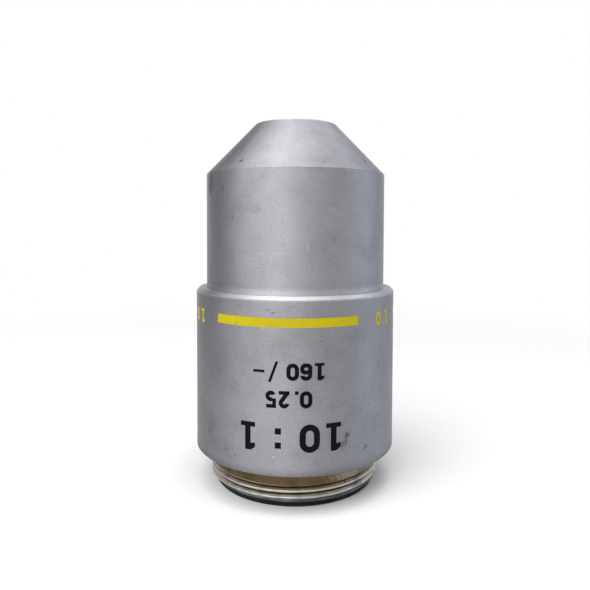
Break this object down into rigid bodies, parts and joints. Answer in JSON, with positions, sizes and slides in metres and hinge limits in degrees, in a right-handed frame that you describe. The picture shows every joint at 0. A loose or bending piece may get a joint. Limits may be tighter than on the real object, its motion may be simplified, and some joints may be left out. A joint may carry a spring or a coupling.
{
  "type": "microscope objective",
  "caption": "Low-power microscope objective: satin metal barrel with a cone tip, marked sleeve with colour bands, brass mounting thread and cemented lenses.",
  "frame": {"origin": "on the optical axis at the rear end of the thread, where the objective stands", "axes": "+Z along the optical axis from the thread to the front lens, -Y towards the marked front of the sleeve, +X to the right of that front"},
  "size_m": [0.024, 0.024, 0.0428],
  "materials": {
    "satin_plate": "satin chrome plate over turned brass",
    "bare_brass": "dull turned brass, slightly tarnished",
    "black_metal": "black anodised, satin",
    "blackened_brass": "matt black coating against stray light",
    "coated_glass": "polished, with a thin anti-reflection coating",
    "yellow_paint": "yellow paint filled into an engraved recess",
    "dark_paint": "near-black paint filled into engraved numbers"
  },
  "bodies": {
    "root": {"rear_baffle": "black_metal", "thread_body": "bare_brass", "barrel_sleeve": "satin_plate", "nose_shell": "satin_plate", "parfocal_shim": "bare_brass", "lens_tube": "blackened_brass", "tube_lock_ring": "blackened_brass", "front_cell": "blackened_brass", "front_flint": "coated_glass", "front_crown": "coated_glass", "front_retainer": "blackened_brass", "spacer_tube": "blackened_brass", "rear_cell": "blackened_brass", "rear_flint": "coated_glass", "rear_crown": "coated_glass", "rear_retainer": "blackened_brass", "aperture_stop": "blackened_brass", "stack_ring": "blackened_brass", "band_paint": "yellow_paint", "band_number_paint": "yellow_paint", "number_paint": "dark_paint"}
  },
  "joints": []
}
